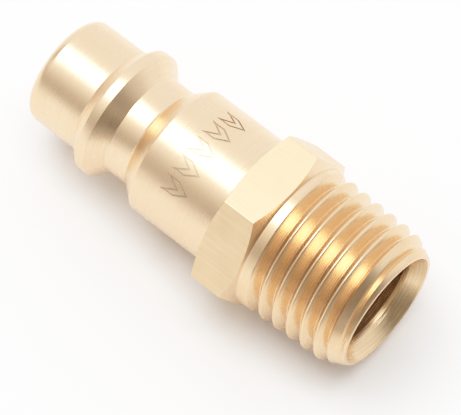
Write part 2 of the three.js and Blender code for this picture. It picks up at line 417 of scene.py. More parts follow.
class Nodes:
    """A tree of shader nodes, with short ways to add to it."""

    def __init__(self, tree: bpy.types.NodeTree) -> None:
        """Takes up a tree."""
        self.tree = tree

    def add(self, kind: str, settings: dict | None = None, **inputs: object) -> bpy.types.Node:
        """Adds a node.

        Args:
            kind: the node's type, without its ShaderNode prefix.
            settings: values for the node's own properties.
            inputs: a value or an output socket for each input, by name, with _ for a space.

        Returns:
            The node.
        """
        node = self.tree.nodes.new("ShaderNode" + kind)
        for key, value in (settings or {}).items():
            setattr(node, key, value)
        for key, value in inputs.items():
            self.feed(node.inputs[key.replace("_", " ")], value)
        return node

    def feed(self, socket: Socket, value: object) -> None:
        """Links an output to a socket, or sets the socket's own value.

        Args:
            socket: the socket to feed.
            value: an output socket, or a plain value.
        """
        if isinstance(value, Socket):
            self.tree.links.new(value, socket)
        else:
            socket.default_value = value

    def operate(self, kind: str, operation: str, *values: object) -> bpy.types.Node:
        """Adds a node that works on its inputs in order.

        Args:
            kind: Math or VectorMath.
            operation: what it works out.
            values: a value or an output socket for each input, in order.

        Returns:
            The node.
        """
        node = self.add(kind, {"operation": operation})
        for socket, value in zip(node.inputs, values):
            self.feed(socket, value)
        return node

    def math(self, operation: str, *values: object) -> Socket:
        """Adds a Math node, and returns its output."""
        return self.operate("Math", operation, *values).outputs[0]

    def along(self, vector: Socket, direction: Sequence[float]) -> Socket:
        """Says how far a vector reaches in a direction."""
        return self.operate("VectorMath", "DOT_PRODUCT", vector, direction).outputs["Value"]

    def noise(self, vector: Socket, scale: float, detail: float) -> Socket:
        """Adds a noise texture, and returns its value, which is between 0 and 1."""
        return self.add("TexNoise", Vector=vector, Scale=scale, Detail=detail).outputs["Fac"]

    def between(self, value: Socket, low: float, high: float) -> Socket:
        """Spreads the middle of a noise value over a range."""
        node = self.add("MapRange", Value=value, From_Min=0.3, From_Max=0.7, To_Min=low, To_Max=high)
        return node.outputs["Result"]

    def mix(self, share: Socket, first: Colour | Socket, second: Colour) -> Socket:
        """Mixes two colours.

        Args:
            share: how much of the second colour there is, from 0 to 1.
            first: the first colour, as a value or an output socket.
            second: the second colour.

        Returns:
            The mixed colour.
        """
        node = self.add("Mix", {"data_type": "RGBA"}, Factor=share)
        self.feed(node.inputs["A"], first if isinstance(first, Socket) else (*first, 1))
        node.inputs["B"].default_value = (*second, 1)
        return node.outputs["Result"]

    def ramp(self, value: Socket, stops: Stops) -> Socket:
        """Turns a value into a colour.

        Args:
            value: what the stops are set out along.
            stops: each stop's value and its colour, in order.

        Returns:
            The colour.
        """
        node = self.add("ValToRGB", Fac=value)
        points = node.color_ramp.elements
        given = len(points)
        for index, (position, colour) in enumerate(stops):
            point = points[index] if index < given else points.new(position)
            point.position = position
            point.color = (*colour, 1)
        return node.outputs["Color"]


class Surface(Nodes):
    """The nodes of a new material, which end in one metal or plastic shader."""

    def __init__(self, name: str) -> None:
        """Makes the material.

        Args:
            name: the material's name.
        """
        self.material = bpy.data.materials.new(name)
        self.material.use_nodes = True
        super().__init__(self.material.node_tree)
        self.shader = self.tree.nodes["Principled BSDF"]
        self.place = self.add("TexCoord").outputs["Object"]

    def give(self, **inputs: object) -> None:
        """Sets or links inputs of the shader, by name, with _ for a space."""
        for key, value in inputs.items():
            self.feed(self.shader.inputs[key.replace("_", " ")], value)

    def weather(self, pattern: Socket, colours: Sequence[Colour], roughness: Sequence[float]) -> None:
        """Tints and roughens the surface by a pattern.

        Args:
            pattern: a noise value.
            colours: the colours where the pattern is low and where it is high.
            roughness: the roughness where it is low and where it is high.
        """
        tint = self.mix(self.between(pattern, 0.0, 1.0), *colours)
        self.give(Base_Color=tint, Roughness=self.between(pattern, *roughness))

    def emboss(self, height: Socket, depth: float) -> None:
        """Raises a pattern on the surface, by a depth in millimetres."""
        bump = self.add("Bump", Height=height, Strength=1.0, Distance=depth * MM)
        self.give(Normal=bump.outputs["Normal"])


class ToolMarks(Enum):
    """Which way the fine lines of a machined surface run."""

    ROUND = "round the axis, as a lathe leaves them"
    ALONG = "along the axis, as a drawn bar has them"


@dataclass(frozen=True)
class Metal:
    """A machined or drawn metal surface.

    Attributes:
        name: the material's name.
        colour: what it reflects face on.
        stain: the colour of its slightly tarnished patches.
        roughness: its lowest and highest roughness.
        marks: which way its lines run.
        line_width: the width of a line, in millimetres.
        line_depth: the depth of a line, in millimetres.
        patch: the size of a tarnished patch, in millimetres.
        line_share: how much of the tint the lines make, where the patches make the rest.
        stretch: how many times longer a line is than it is wide.
    """

    name: str
    colour: Colour
    stain: Colour
    roughness: tuple[float, float]
    marks: ToolMarks = ToolMarks.ROUND
    line_width: float = 0.09
    line_depth: float = 0.0012
    patch: float = 2.6
    line_share: float = 0.6
    stretch: float = 60.0

    @cache
    def material(self) -> bpy.types.Material:
        """Builds the material, once."""
        surface = Surface(self.name)
        lines = surface.noise(self.line_vector(surface), 1 / (self.line_width * MM), 2.0)
        patches = surface.noise(surface.place, 1 / (self.patch * MM), 3.0)
        rest = surface.math("MULTIPLY", patches, 1 - self.line_share)
        blend = surface.math("MULTIPLY_ADD", lines, self.line_share, rest)
        surface.weather(blend, (self.colour, self.stain), self.roughness)
        surface.give(Metallic=1.0)
        surface.emboss(lines, self.line_depth)
        return surface.material

    def line_vector(self, surface: Surface) -> Socket:
        """Stretches the texture space so that a noise in it turns into lines.

        Args:
            surface: the nodes to add to.

        Returns:
            The place that the noise is read at.
        """
        x, y, z = surface.add("SeparateXYZ", Vector=surface.place).outputs
        if self.marks is ToolMarks.ALONG:
            x = surface.math("MULTIPLY", x, 1 / self.stretch)
        else:
            square = surface.math("MULTIPLY_ADD", y, y, surface.math("MULTIPLY", z, z))
            z = surface.math("MULTIPLY", surface.math("ADD", y, z), 1 / self.stretch)
            y = surface.math("SQRT", square)
        return surface.add("CombineXYZ", X=x, Y=y, Z=z).outputs["Vector"]


@dataclass(frozen=True)
class Rubber:
    """A moulded rubber surface, with a fine bloom on it.

    Attributes:
        name: the material's name.
        colour: its own colour.
        bloom: the colour of its bloomed patches.
        roughness: its lowest and highest roughness.
        patch: the size of a bloomed patch, in millimetres.
        grain: the size of a grain, in millimetres.
        grain_depth: how deep the grain is, in millimetres.
    """

    name: str
    colour: Colour
    bloom: Colour
    roughness: tuple[float, float]
    patch: float = 0.8
    grain: float = 0.05
    grain_depth: float = 0.002

    def material(self) -> bpy.types.Material:
        """Builds the material."""
        surface = Surface(self.name)
        bloom = surface.noise(surface.place, 1 / (self.patch * MM), 4.0)
        grain = surface.noise(surface.place, 1 / (self.grain * MM), 2.0)
        surface.weather(bloom, (self.colour, self.bloom), self.roughness)
        surface.emboss(grain, self.grain_depth)
        return surface.material


BRASS: Colour = (0.87, 0.65, 0.44)
BRASS_STAIN: Colour = (0.84, 0.61, 0.39)

TURNED = Metal("lathe_cut_brass", BRASS, BRASS_STAIN, (0.23, 0.35), line_depth=0.0026)
BAR = Metal(
    "drawn_bar_brass",
    (0.9, 0.67, 0.43),
    (0.78, 0.57, 0.35),
    (0.34, 0.46),
    ToolMarks.ALONG,
    line_width=0.1,
    line_depth=0.006,
)
THREADED = Metal("thread_cut_brass", (0.86, 0.63, 0.41), (0.8, 0.56, 0.33), (0.22, 0.33), line_width=0.06)
BORED = Metal(
    "bored_brass",
    (0.82, 0.61, 0.39),
    (0.72, 0.51, 0.3),
    (0.22, 0.34),
    line_width=0.14,
    line_depth=0.03,
)
# Darker and greyer than the brass round it: painted shade in the engraved strokes of the flow marks.
SHADED_ENGRAVING = Metal("engraved_brass_painted_shade", (0.6, 0.48, 0.35), (0.54, 0.42, 0.3), (0.3, 0.42))
VALVE = Metal("valve_cut_brass", (0.8, 0.6, 0.33), (0.74, 0.54, 0.28), (0.22, 0.34))
WIRE = Metal("drawn_wire", (0.66, 0.66, 0.66), (0.56, 0.56, 0.57), (0.2, 0.32), line_width=0.05)
PHOSPHATE = Metal("phosphate_coat", (0.1, 0.1, 0.105), (0.06, 0.06, 0.065), (0.42, 0.58))
NITRILE = Rubber("moulded_nitrile", (0.02, 0.02, 0.021), (0.045, 0.045, 0.046), (0.5, 0.68))


# ------------------------------------------------------------------------------ brass body


@dataclass
class TaperThread:
    """The external taper thread: 18 turns to the inch, 1 in 16, right hand.

    Attributes:
        start: the station where the thread begins.
        end: the station of its end face.
        crest_radius: the radius of its crests at the start.
        pitch: how far it goes along the axis in one turn.
        taper: how much narrower it gets over its length, in diameter.
        crest_flat: how wide the flat on a crest is.
        crest_edge: how far back from a crest's corner its rounding starts.
        root_flat: how wide the flat at the root is.
        root_edge: how far back from a root's corner its rounding starts.
        flank_angle: how far a flank leans from square to the axis.
        lead_angle: how steeply the lead cone closes in on the axis.
        lead_radius: the radius of the end face.
        start_angle: the angle about the axis where the groove starts.
        run_out: how many turns the groove takes to sink to its depth.
        run_out_rise: how far above the crests the groove's floor starts.
        facets: how many flats make one turn.
        overrun: how far a shape runs past where it is joined or cut.
        spare_turns: how many turns are wound past each end, to be cut off.
    """

    start: float
    end: float
    crest_radius: float
    pitch: float = 25.4 / 18
    taper: float = 1 / 16
    crest_flat: float = 0.2
    crest_edge: float = 0.09
    root_flat: float = 0.1
    root_edge: float = 0.05
    flank_angle: float = 30.0
    lead_angle: float = 28.0
    lead_radius: float = 5.5
    start_angle: float = 243.3
    run_out: float = 0.35
    run_out_rise: float = 0.1
    facets: int = 160
    overrun: float = 1.5
    spare_turns: int = 2

    @property
    def flank(self) -> float:
        """How far one flank runs along the axis."""
        return (self.pitch - self.crest_flat - self.root_flat) / 2

    @property
    def depth(self) -> float:
        """How deep the groove is."""
        return self.flank / math.tan(math.radians(self.flank_angle))

    def one_pitch(self) -> Piece:
        """Draws the thread's outline over one pitch, from the middle of a crest to the next."""
        crest, root = self.crest_radius, self.crest_radius - self.depth
        steps = [
            Step(0, crest),
            Step(self.crest_flat / 2, crest, self.crest_edge),
            Step(self.flank, root, self.root_edge),
            Step(self.root_flat, root, self.root_edge),
            Step(self.flank, crest, self.crest_edge),
            Step(self.crest_flat / 2, crest),
        ]
        # At angle 0 the first groove is this far past its start.
        turns_to_zero = 1 - self.start_angle / 360
        first_crest = self.start + (turns_to_zero - 0.5) * self.pitch
        return drawn("thread", first_crest - self.spare_turns * self.pitch, steps)

    def shaped(self, place: Vector) -> Vector:
        """Moves a point of the straight thread to where the taper and the run-out put it.

        Args:
            place: the point on the straight thread.

        Returns:
            Its place on the finished one.
        """
        angle = math.atan2(place.z, place.y) % FULL_TURN
        radius = math.hypot(place.y, place.z)
        turns = angle / FULL_TURN - self.start_angle / 360
        along = (place.x - self.start) / self.pitch - turns
        turns += math.floor(along + 0.5)
        sunk = min(max(turns / self.run_out, 0.0), 1.0)
        lift = (self.depth + self.run_out_rise) * (1 - sunk)
        drop = max(self.crest_radius - radius - lift, 0.0)
        tapered = self.crest_radius - max(place.x - self.start, 0.0) * self.taper / 2 - drop
        return Vector((place.x, *polar(tapered, angle)))

    def build(self) -> Piece:
        """Winds the outline up the axis, and cuts it off with a lead cone and an end face."""
        rod = self.one_pitch()
        turns = math.ceil((self.end - self.start) / self.pitch) + 2 * self.spare_turns
        wind(rod, self.pitch, turns, self.facets)
        for vertex in rod.data.vertices:
            vertex.co = self.shaped(vertex.co)
        with editing(rod):
            bpy.ops.mesh.remove_doubles(threshold=TOUCHING)
            trim(self.start - self.overrun, self.end + self.overrun / 3)
        combine(rod, self.lead_cone(), Join.KEEP)
        return rod

    def lead_cone(self) -> Piece:
        """The solid that the finished thread fits in."""
        wide = self.crest_radius + self.overrun
        cone = (wide - self.lead_radius) / math.tan(math.radians(self.lead_angle))
        straight = self.end - self.start + 2 * self.overrun - cone
        steps = [
            Step(0, 0),
            Step(0, wide),
            Step(straight, wide),
            Step(cone, self.lead_radius, 0.06),
            Step(0, 0),
        ]
        return turned("lead_cone", self.start - 2 * self.overrun, steps, self.facets)


@dataclass
class Hexagon:
    """The spanner hexagon, with a cone cut off each end of it.

    Attributes:
        start: the station of its rear face, towards the nose.
        half_width: half its width across flats.
        front_radius: where its front cone starts, on the face towards the thread.
        thickness: how far it runs along the axis.
        rear_radius: where its rear cone starts.
        rear_angle: how far the rear cone leans from the rear face.
        front_angle: how far the front cone leans from the front face.
        edge: how far back from a corner the corner's rounding starts.
        facets: how many flats make a cone's round.
    """

    start: float
    half_width: float
    front_radius: float
    thickness: float = 4.12
    rear_radius: float = 6.9
    rear_angle: float = 20.0
    front_angle: float = 26.0
    edge: float = 0.07
    facets: int = 160

    def build(self) -> Piece:
        """Bevels a six-sided bar along its corners, and chamfers its ends."""
        corner = self.half_width * 2 / math.sqrt(3)
        bar = primitive(
            "hexagon",
            bpy.ops.mesh.primitive_cylinder_add,
            vertices=6,
            radius=corner,
            depth=self.thickness,
            location=(self.start + self.thickness / 2, 0, 0),
            rotation=(0, math.pi / 2, 0),
        )
        with editing(bar):
            mesh = bmesh.from_edit_mesh(bar.data)
            bpy.ops.mesh.select_all(action="DESELECT")
            bpy.ops.mesh.select_mode(type="EDGE")
            for edge in mesh.edges:
                along = edge.verts[0].co - edge.verts[1].co
                edge.select = abs(along.x) > self.thickness / 2
            bmesh.update_edit_mesh(bar.data)
            bpy.ops.mesh.bevel(offset=self.edge, offset_type="OFFSET", segments=3, affect="EDGES")
        combine(bar, self.cones(corner + 1), Join.KEEP)
        return bar

    def cones(self, wide: float) -> Piece:
        """Turns the double cone that chamfers the bar.

        Args:
            wide: its radius in the middle, clear of the bar.

        Returns:
            The double cone.
        """
        rear = (wide - self.rear_radius) * math.tan(math.radians(self.rear_angle))
        front = (wide - self.front_radius) * math.tan(math.radians(self.front_angle))
        steps = [
            Step(0, 0),
            Step(0, self.rear_radius, 0.05),
            Step(rear, wide),
            Step(self.thickness - rear - front, wide),
            Step(front, self.front_radius),
            Step(0, 0),
        ]
        return turned("chamfers", self.start, steps, self.facets)


@dataclass
class FlowMarks:
    """A row of outlined chevrons, engraved round the barrel, that point along the flow.

    Attributes:
        radius: the barrel's radius.
        start: the station where the chevrons start.
        count: how many there are.
        first_angle: where the first one stands about the axis.
        angle_step: how far the next one stands from it.
        half_width: half a chevron's width, along the round.
        arm: how far its point lies ahead of its wings.
        band: how wide its band is along the axis.
        stroke: how wide its engraved outline is.
        depth: how deep the outline is cut.
        clear: how far the tool shape stands out of the barrel.
    """

    radius: float
    start: float
    count: int = 5
    first_angle: float = 62.0
    angle_step: float = 19.0
    half_width: float = 0.72
    arm: float = 1.25
    band: float = 1.3
    stroke: float = 0.15
    depth: float = 0.07
    clear: float = 0.3

    def outline(self) -> list[tuple[float, float]]:
        """The corners of one chevron, as distance along the axis and along the round."""
        wing, tip = self.half_width, self.arm
        return [
            (0, -wing),
            (tip, 0),
            (0, wing),
            (self.band, wing),
            (tip + self.band, 0),
            (self.band, -wing),
        ]

    def chevron(self, angle: float) -> Piece:
        """Makes the tool that cuts one chevron, wrapped round the barrel.

        Args:
            angle: where the chevron stands about the axis, in degrees.

        Returns:
            The tool.
        """
        outline = self.outline()
        tool = primitive(
            "chevron",
            bpy.ops.mesh.primitive_circle_add,
            vertices=len(outline),
            radius=1,
            fill_type="NGON",
        )
        for vertex, (along, across) in zip(tool.data.vertices, outline):
            vertex.co = (self.start + along, across, self.radius - self.depth)
        with editing(tool):
            bpy.ops.mesh.inset(thickness=self.stroke)
            bpy.ops.mesh.delete(type="FACE")
            bpy.ops.mesh.select_all(action="SELECT")
            bpy.ops.mesh.subdivide(number_cuts=5)
            bpy.ops.mesh.select_all(action="SELECT")
            extrude_by((0, 0, self.depth + self.clear))
        for vertex in tool.data.vertices:
            turn = math.radians(angle) + vertex.co.y / self.radius
            vertex.co = (vertex.co.x, *polar(vertex.co.z, turn))
        with editing(tool):
            close_up()
        return tool

    def engrave(self, piece: Piece) -> None:
        """Cuts the whole row into a piece."""
        for index in range(self.count):
            combine(piece, self.chevron(self.first_angle + index * self.angle_step), Join.CUT)


@dataclass
class PlugBody:
    """The one-piece brass body: nose, collar, neck, barrel, hexagon and thread.

    Attributes:
        span: where the body's node lies.
        nose_radius: the radius of the nose.
        nose_length: how long the nose is.
        nose_edge: how far back from the nose's rim its rounding starts.
        nose_bore: the radius of the bore through the nose.
        collar_radius: the radius of the collar.
        collar_front: how long the cone is that leads up to the collar.
        collar_band: how long the collar's full width is.
        collar_rear: how long the cone is that leads down to the neck.
        neck_radius: the radius of the neck.
        neck_length: how long the neck is between its cones.
        barrel_radius: the radius of the barrel.
        barrel_cone: how long the cone is from the neck up to the barrel.
        barrel_length: how long the barrel is.
        marks_from_barrel: how far the flow marks are from the barrel's start.
        relief_radius: the radius between the hexagon and the thread.
        relief_length: how far the hexagon is from the thread.
        seat_station: the station of the seat's narrow end.
        seat_width: how long the seat's cone is.
        chamber_radius: the radius of the valve's chamber.
        ring_groove_depth: how deep the retaining ring's groove is.
        ring_groove_width: how wide that groove is.
        ring_groove_from_end: how far the ring groove's wall on the thread's side is from the end face.
        mouth_depth: how long the flared mouth is.
        mouth_flare: how much wider the mouth is than the chamber, in radius.
        facets: how many flats make the round.
        finishes: the finishes that its faces have.
    """

    span: Span = field(default_factory=lambda: Span.of("plug_body"))
    nose_radius: float = 5.0
    nose_length: float = 5.4
    nose_edge: float = 0.9
    nose_bore: float = 3.4
    collar_radius: float = 6.05
    collar_front: float = 1.04
    collar_band: float = 0.9
    collar_rear: float = 1.28
    neck_radius: float = 4.7
    neck_length: float = 2.23
    barrel_radius: float = 6.0
    barrel_cone: float = 1.55
    barrel_length: float = 8.1
    marks_from_barrel: float = 2.45
    relief_radius: float = 6.75
    relief_length: float = 0.58
    seat_station: float = 11.1
    seat_width: float = 1.1
    chamber_radius: float = 4.5
    ring_groove_depth: float = 0.2
    ring_groove_width: float = 0.9
    ring_groove_from_end: float = 8.0
    mouth_depth: float = 1.5
    mouth_flare: float = 0.68
    facets: int = 160
    finishes: tuple[Metal, ...] = (TURNED, BAR, THREADED, BORED, SHADED_ENGRAVING)

    @property
    def barrel_start(self) -> float:
        """The station where the barrel reaches its full radius."""
        collar = self.collar_front + self.collar_band + self.collar_rear
        return self.nose_length + collar + self.neck_length + self.barrel_cone

    @property
    def hex_start(self) -> float:
        """The station of the hexagon's rear face."""
        return self.barrel_start + self.barrel_length

    def blank(self) -> Piece:
        """Turns the outside from the nose to the middle of the hexagon."""
        steps = [
            Step(0, 0),
            Step(0, self.nose_radius, self.nose_edge),
            Step(self.nose_length, self.nose_radius, 0.08),
            Step(self.collar_front, self.collar_radius, 0.06),
            Step(self.collar_band, self.collar_radius, 0.04),
            Step(self.collar_rear, self.neck_radius, 0.06),
            Step(self.neck_length, self.neck_radius, 0.2),
            Step(self.barrel_cone, self.barrel_radius, 0.08),
            Step(self.barrel_length + 2, self.barrel_radius),
            Step(0, 0),
        ]
        return turned("brass_body", 0, steps, self.facets)

    def bore(self) -> Piece:
        """Turns the shape of the bore: nose, seat, valve chamber, ring groove and mouth."""
        past, lip, edge = 1.0, 0.06, 0.3
        groove_front = self.span.length - self.ring_groove_from_end - self.ring_groove_width
        groove_radius = self.chamber_radius + self.ring_groove_depth
        chamber = groove_front - self.seat_station - self.seat_width
        mouth = self.chamber_radius + self.mouth_flare
        steps = [
            Step(0, 0),
            Step(0, self.nose_bore + edge + past),
            Step(past + edge, self.nose_bore, 0.06),
            Step(self.seat_station - edge, self.nose_bore),
            Step(self.seat_width, self.chamber_radius),
            Step(chamber, self.chamber_radius),
            Step(0, groove_radius),
            Step(self.ring_groove_width, groove_radius),
            Step(0, self.chamber_radius),
            Step(self.ring_groove_from_end - self.mouth_depth, self.chamber_radius, 0.3),
            Step(self.mouth_depth - lip, mouth - lip / 2),
            Step(lip + past, mouth + past),
            Step(0, 0),
        ]
        return turned("bore", -past, steps, self.facets)

    def finish_at(self, centre: Vector, normal: Vector) -> Metal:
        """Says which finish a face has.

        Args:
            centre: the face's centre, in millimetres.
            normal: its normal.

        Returns:
            The finish.
        """
        slack, steep, level = 0.01, 0.1, 0.02
        under_bore, over_barrel, engraving = 0.2, 0.5, 0.015
        radius = math.hypot(centre.y, centre.z)
        outwards = centre.y * normal.y + centre.z * normal.z
        widest = self.chamber_radius + self.ring_groove_depth
        in_bore = self.nose_bore - under_bore < radius < widest + slack
        if in_bore and centre.x > slack and outwards < slack * radius:
            return BORED
        if centre.x > self.span.length - self.mouth_depth and outwards < -steep * radius:
            return BORED
        hex_end = self.hex_start + Hexagon.thickness
        if self.hex_start < centre.x < hex_end and radius > self.barrel_radius + over_barrel:
            return BAR if abs(normal.x) < level else TURNED
        if centre.x > hex_end + self.relief_length / 2:
            return THREADED
        # Faces sunk into the barrel get the darker engraving colour, which paints shade into the strokes.
        engraved = radius < self.barrel_radius - engraving
        if engraved and self.barrel_start < centre.x < self.hex_start:
            return SHADED_ENGRAVING
        return TURNED

    def dress(self, piece: Piece) -> None:
        """Gives each face of the body its finish.

        Args:
            piece: the body, in millimetres.
        """
        piece.data.materials.clear()
        for finish in self.finishes:
            piece.data.materials.append(finish.material())
        for face in piece.data.polygons:
            finish = self.finish_at(face.center, face.normal)
            face.material_index = self.finishes.index(finish)

    def build(self) -> None:
        """Makes the body, and gives it to the frame."""
        body = self.blank()
        FlowMarks(self.barrel_radius, self.barrel_start + self.marks_from_barrel).engrave(body)
        half_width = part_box("plug_body")[1].z / MM
        hexagon = Hexagon(self.hex_start, half_width, self.relief_radius)
        combine(body, hexagon.build(), Join.ADD)
        thread_start = self.hex_start + hexagon.thickness + self.relief_length
        thread = TaperThread(thread_start, self.span.length, self.relief_radius)
        combine(body, thread.build(), Join.ADD)
        combine(body, self.bore(), Join.CUT)
        self.dress(body)
        hand_over(body, "plug_body", "plug")


# ------------------------------------------------------------------------------ valve


@dataclass
class ShutOffValve:
    """The spring-closed poppet valve, and the guide and ring that hold it in the bore.

    Attributes:
        gap: how far apart pieces that slide or touch are kept.
        fine: how far back from a guide's corner its rounding starts.
        facets: how many flats make the round.
        section_facets: how many flats make the seal's section, and an eye.
        probe_radius: the radius of the poppet's probe.
        flange_radius: the radius of the flange in front of the seal.
        flange_length: how long that flange is.
        head_radius: the radius of the head behind the seal.
        stem_radius: the radius of the stem.
        spigot_radius: the radius of the spigots that the spring sits on.
        spigot_length: how long the poppet's spigot is.
        wire: the thickness of the spring's wire.
        ground: how much is ground off each end of the spring.
        dead_coils: how many coils are closed at each end.
        active_coils: how many coils are open between them.
        hub_radius: the radius of the guide's hub.
        hub_thickness: how far the guide's hub and arms run along the axis.
        arm_width: how wide a guide's arm is.
        arms: how many arms the guide has.
        ring_width: how wide the ring's band is.
        ring_gap: the angle that the ring is open over, between its lugs.
        lug_depth: how far a lug reaches in from the ring's outside.
        lug_width: how wide a lug is along the round.
        eye_radius: the radius of the hole in a lug.
    """

    gap: float = 0.05
    fine: float = 0.08
    facets: int = 96
    section_facets: int = 32
    probe_radius: float = 1.5
    flange_radius: float = 3.0
    flange_length: float = 0.55
    head_radius: float = 3.9
    stem_radius: float = 1.2
    spigot_radius: float = 2.45
    spigot_length: float = 1.0
    wire: float = 0.6
    ground: float = 0.12
    dead_coils: int = 1
    active_coils: int = 5
    hub_radius: float = 3.3
    hub_thickness: float = 1.6
    arm_width: float = 1.8
    arms: int = 3
    ring_width: float = 0.95
    ring_gap: float = 46.0
    lug_depth: float = 1.75
    lug_width: float = 1.9
    eye_radius: float = 0.45

    def poppet(self) -> None:
        """Turns the poppet: probe, flange, seal slot, head, spring spigot and stem."""
        span, seal = Span.of("valve_poppet"), Span.of("poppet_seal")
        slot_start, slot_end = seal.start - self.gap, seal.end + self.gap
        slot_floor = seal.reach - seal.length - self.gap
        head_end = Span.of("valve_spring").start - self.gap
        cone = self.flange_radius - self.probe_radius
        cone_start = slot_start - self.flange_length - cone
        steps = [
            Step(0, 0),
            Step(0, self.probe_radius, self.probe_radius * 0.98),
            Step(cone_start - span.start, self.probe_radius, 0.2),
            Step(cone, self.flange_radius, 0.1),
            Step(self.flange_length, self.flange_radius, 0.05),
            Step(0, slot_floor, 0.1),
            Step(slot_end - slot_start, slot_floor, 0.1),
            Step(0, self.head_radius, 0.3),
            Step(head_end - slot_end, self.head_radius, 0.3),
            Step(0, self.spigot_radius, 0.1),
            Step(self.spigot_length, self.spigot_radius, 0.25),
            Step(0, self.stem_radius, 0.1),
            Step(span.end - head_end - self.spigot_length, self.stem_radius, 0.25),
            Step(0, 0),
        ]
        piece = turned("brass_poppet", span.start, steps, self.facets)
        cover(piece, VALVE.material())
        hand_over(piece, "valve_poppet", "valve")

    def seal(self) -> None:
        """Spins the seal's round section, which has a fine moulding line outside and inside."""
        span = Span.of("poppet_seal")
        cord = span.length / 2
        piece = primitive(
            "rubber_seal",
            bpy.ops.mesh.primitive_circle_add,
            vertices=self.section_facets,
            radius=cord,
            location=(span.middle, span.reach - cord, 0),
        )
        with editing(piece):
            pick(lambda place: abs(abs(place.y - span.reach + cord) - cord) < TOUCHING)
            bpy.ops.mesh.bevel(offset=0.05, offset_type="OFFSET", segments=2, profile=1, affect="VERTICES")
            bpy.ops.mesh.select_all(action="SELECT")
            bpy.ops.mesh.spin(steps=self.facets, angle=FULL_TURN, center=(0, 0, 0), axis=(1, 0, 0))
            close_up()
        cover(piece, NITRILE.material())
        hand_over(piece, "poppet_seal", "valve")

    @property
    def turns(self) -> int:
        """How many turns of wire the spring has."""
        return 2 * self.dead_coils + self.active_coils

    def coil_station(self, turn: float, span: Span) -> float:
        """Says how far along the axis the wire's middle is.

        Args:
            turn: how many turns have been wound so far.
            span: where the spring's node lies.

        Returns:
            The station.
        """
        dead_pitch = self.wire + self.gap
        inset = self.wire / 2 - self.ground
        first, last = span.start + inset, span.end - inset
        dead = self.dead_coils * dead_pitch
        if turn < self.dead_coils:
            return first + turn * dead_pitch
        if turn < self.dead_coils + self.active_coils:
            share = (turn - self.dead_coils) / self.active_coils
            return first + dead + share * (last - first - 2 * dead)
        return last - (self.turns - turn) * dead_pitch

    def spring(self) -> None:
        """Winds the spring from a round wire, with its end coils closed and ground flat."""
        span = Span.of("valve_spring")
        sides, steps = 16, 40
        piece = primitive(
            "wire_spring",
            bpy.ops.mesh.primitive_circle_add,
            vertices=sides,
            radius=self.wire / 2,
            location=(0, span.reach - self.wire / 2, 0),
        )
        wind(piece, 1.0, self.turns, steps)
        for index, vertex in enumerate(piece.data.vertices):
            turn = index // sides / steps
            vertex.co.x += self.coil_station(turn, span) - turn
        with editing(piece):
            bpy.ops.mesh.fill_holes(sides=0)
            close_up()
            trim(span.start, span.end)
        cover(piece, WIRE.material())
        hand_over(piece, "valve_spring", "plug")
        self.squash_spring(piece)

    def squash_spring(self, piece: Piece) -> None:
        """Gives the spring a mesh of its own.

        Args:
            piece: the finished spring.
        """
        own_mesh(piece)

    def guide(self) -> None:
        """Makes the star guide: a bored hub with arms that reach the wall of the bore."""
        span = Span.of("valve_guide")
        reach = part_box("valve_guide")[1].z / MM
        face = span.end - self.hub_thickness
        hole = self.stem_radius + self.gap
        steps = [
            Step(0, hole),
            Step(0, self.spigot_radius, 0.2),
            Step(face - span.start, self.spigot_radius, 0.1),
            Step(0, self.hub_radius, self.fine),
            Step(self.hub_thickness, self.hub_radius, self.fine),
            Step(0, hole),
        ]
        piece = turned("star_guide", span.start, steps, self.facets, closed=True)
        root = (hole + self.hub_radius) / 2
        length = reach + 1 - root
        for index in range(self.arms):
            angle = math.pi / 2 + index * FULL_TURN / self.arms
            arm = primitive(
                "arm",
                bpy.ops.mesh.primitive_cube_add,
                size=1,
                location=(face + self.hub_thickness / 2, *polar(root + length / 2, angle)),
                rotation=(angle, 0, 0),
                scale=(self.hub_thickness - 2 * self.fine, length, self.arm_width),
            )
            apply_modifier(arm, "BEVEL", width=0.15, segments=3)
            combine(piece, arm, Join.ADD)
        rim = [
            Step(0, 0),
            Step(0, reach, 0.1),
            Step(span.length + 2, reach, 0.1),
            Step(0, 0),
        ]
        combine(piece, turned("rim", span.start - 1, rim, self.facets), Join.KEEP)
        cover(piece, VALVE.material())
        hand_over(piece, "valve_guide", "plug")

    def ring(self) -> None:
        """Makes the retaining ring: a flat split ring with a lug and an eye at each end."""
        span = Span.of("retaining_ring")
        outer, inner = span.reach, span.reach - self.ring_width
        lug = outer - self.lug_depth
        gap = math.radians(self.ring_gap)
        lug_angle = self.lug_width / inner
        start = math.pi / 2 + gap / 2
        piece = single_vertex("split_ring", (span.start, *polar(outer, start)))
        heading = start
        with editing(piece):
            for sweep, radius, steps in (
                (FULL_TURN - gap, lug, 120),
                (-lug_angle, inner, 12),
                (2 * lug_angle + gap - FULL_TURN, lug, 100),
                (-lug_angle, outer, 12),
            ):
                bpy.ops.mesh.spin(steps=steps, angle=sweep, center=(0, 0, 0), axis=(-1, 0, 0))
                heading += sweep
                here = Vector((0, *polar(1.0, heading)))
                extrude_by(here * (radius - self.selected_radius()))
            bpy.ops.mesh.select_all(action="SELECT")
            bpy.ops.mesh.remove_doubles(threshold=10 * TOUCHING)
            bpy.ops.mesh.edge_face_add()
            extrude_by((span.length, 0, 0))
            close_up()
        centre = lug + (self.lug_depth - self.ring_width / 2) / 2
        for angle in (start + lug_angle / 2, start - gap - lug_angle / 2):
            eye = primitive(
                "eye",
                bpy.ops.mesh.primitive_cylinder_add,
                vertices=self.section_facets,
                radius=self.eye_radius,
                depth=2,
                location=(span.middle, *polar(centre, angle)),
                rotation=(0, math.pi / 2, 0),
            )
            combine(piece, eye, Join.CUT)
        apply_modifier(piece, "BEVEL", width=0.05, segments=2, limit_method="ANGLE")
        cover(piece, PHOSPHATE.material())
        hand_over(piece, "retaining_ring", "plug")

    @staticmethod
    def selected_radius() -> float:
        """How far the one selected vertex is from the axis."""
        mesh = bmesh.from_edit_mesh(bpy.context.edit_object.data)
        chosen = next(vertex for vertex in mesh.verts if vertex.select)
        return math.hypot(chosen.co.y, chosen.co.z)

